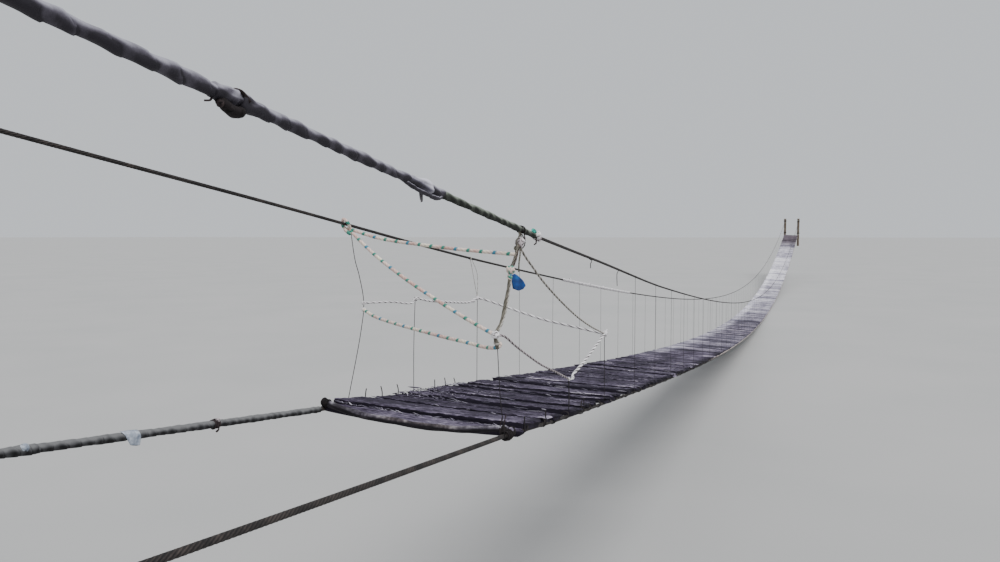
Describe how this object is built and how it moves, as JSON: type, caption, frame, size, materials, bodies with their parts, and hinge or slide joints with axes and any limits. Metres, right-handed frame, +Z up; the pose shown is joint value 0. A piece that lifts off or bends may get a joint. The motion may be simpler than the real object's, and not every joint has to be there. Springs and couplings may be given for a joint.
{
  "type": "rope suspension footbridge, 1:2 scale model",
  "caption": "Sagging suspension footbridge with rough boards on two cables, wire hangers, two handrail cables, mended side ropes and a rope barrier across its entry.",
  "frame": {"origin": "middle of the flat foot of the right-hand near post", "axes": "+X along the bridge from the near bank to the far bank, +Y to the left across the deck, +Z up"},
  "size_m": [37.541, 0.8861, 2.488],
  "materials": {
    "deck_wood": "weathered, rough",
    "post_wood": "weathered trunk",
    "cable_steel": "rusty stranded wire",
    "striped_rope": "braided, banded green and blue",
    "white_rope": "twisted, dirty white",
    "olive_rope": "twisted, dirty",
    "blue_cloth": "matt",
    "pale_plastic": "torn sheet"
  },
  "bodies": {
    "root": {"near_post_left": "post_wood", "near_post_right": "post_wood", "far_post_left": "post_wood", "far_post_right": "post_wood", "handrail_left_near": "cable_steel", "handrail_right_near": "cable_steel", "deck_cable_left_near": "cable_steel", "deck_cable_right_near": "cable_steel", "left_side_1": "cable_steel", "right_side_1": "cable_steel", "left_side_2": "cable_steel", "right_side_2": "cable_steel", "left_side_3": "cable_steel", "right_side_3": "cable_steel", "left_side_4": "cable_steel", "right_side_4": "cable_steel", "left_side_5": "cable_steel", "right_side_5": "cable_steel", "left_side_6": "cable_steel", "right_side_6": "cable_steel", "left_side_7": "cable_steel", "right_side_7": "cable_steel", "first_pole": "deck_wood", "deck_section_1": "deck_wood", "deck_section_2": "deck_wood", "deck_section_3": "deck_wood", "deck_section_4": "deck_wood", "deck_section_5": "deck_wood", "deck_section_6": "deck_wood", "deck_section_7": "deck_wood", "entry_upright_rope": "white_rope", "barrier_rope_upper": "striped_rope", "barrier_rope_lower": "striped_rope", "mid_cord": "white_rope", "thick_side_rope": "white_rope", "slanting_rope": "olive_rope", "lower_side_rope": "olive_rope", "handrail_lashing": "white_rope", "deck_cable_lashing": "olive_rope", "blue_rag": "blue_cloth", "pale_rag": "pale_plastic", "handrail_strip": "pale_plastic"}
  },
  "joints": []
}
